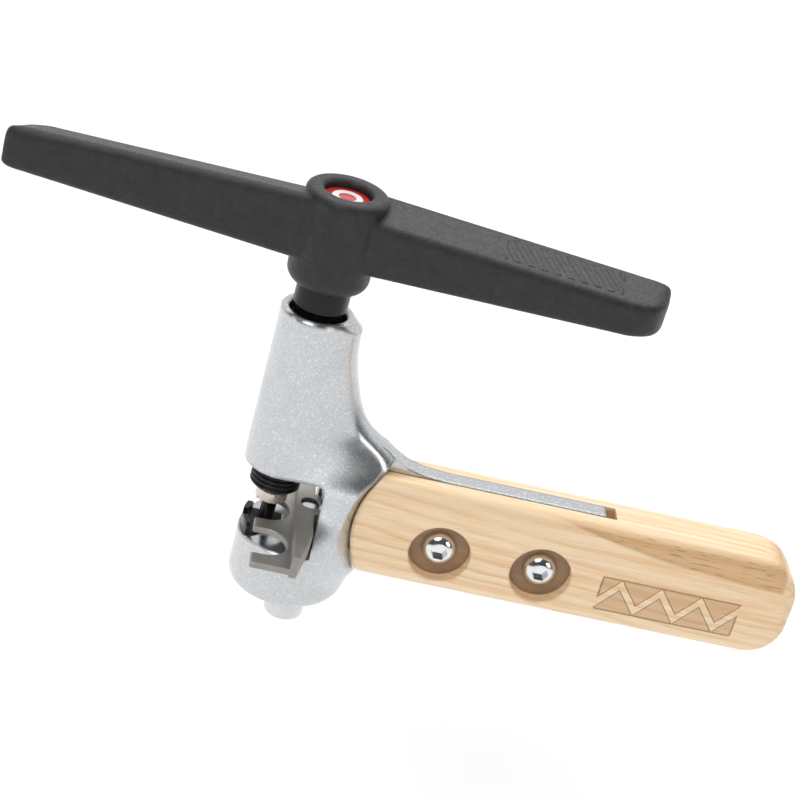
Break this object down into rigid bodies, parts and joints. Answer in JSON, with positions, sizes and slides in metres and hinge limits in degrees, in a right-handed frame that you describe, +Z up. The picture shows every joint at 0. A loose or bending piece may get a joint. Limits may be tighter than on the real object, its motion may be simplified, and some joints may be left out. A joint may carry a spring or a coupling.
{
  "type": "bicycle chain tool",
  "caption": "Screw-press chain pin tool: flared metal body with a chain comb, T-handle spindle and slotted wooden grip.",
  "frame": {"origin": "mouth of the anvil hole, on the spindle axis", "axes": "+Z up the spindle to the T-handle, +X along the wood handle to its free end, -Y the side with the bolt heads"},
  "size_m": [0.1702, 0.042, 0.0929],
  "materials": {
    "cast_silver": "sparkling silver paint, satin",
    "black_steel": "black oxide",
    "sintered_steel": "matt warm grey",
    "turned_aluminium": "fine turned",
    "zinc_steel": "plain zinc",
    "ash_wood": "sanded, clear oil",
    "polished_steel": "polished",
    "black_oxide": "black oxide, satin",
    "knurled_nickel": "knurled nickel",
    "black_polymer": "fine matt texture",
    "badge_red": "glossy",
    "badge_white": "glossy"
  },
  "bodies": {
    "frame": {"body_casting": "cast_silver", "anvil_block": "black_steel", "anvil_screw": "black_steel", "wood_handle": "ash_wood", "handle_bolts": "polished_steel", "sleeve_nuts": "polished_steel"},
    "carrier": {"push_pin": "black_oxide"},
    "spindle": {"spindle_screw": "black_oxide", "pin_cap": "knurled_nickel", "t_handle": "black_polymer", "hub_insert": "zinc_steel", "drive_pin": "zinc_steel", "screw_washer": "zinc_steel", "handle_screw": "zinc_steel", "hub_badge": "badge_red", "badge_emblem": "badge_white"},
    "comb": {"chain_comb": "sintered_steel", "lift_plunger": "turned_aluminium", "spring_seat": "zinc_steel", "plunger_spring": "zinc_steel"}
  },
  "joints": [
    {"name": "screw_travel", "type": "slide", "parent": "frame", "child": "carrier", "axis": [0, 0, 1], "range_m": [-0.00325, 0.01]},
    {"name": "handle_turn", "type": "hinge", "parent": "carrier", "child": "spindle", "pos_m": [0, 0, 0.03], "axis": [0, 0, 1], "range_deg": [-1170, 3600]},
    {"name": "comb_lift", "type": "slide", "parent": "frame", "child": "comb", "axis": [0, 0, 1], "range_m": [0, 0.0016], "stiffness_N_per_m": 600, "springref_m": -0.002, "deforming": ["plunger_spring"]}
  ],
  "couplings": [
    {"joint": "handle_turn", "follows": "screw_travel", "rad_per_m": 6283.2}
  ]
}
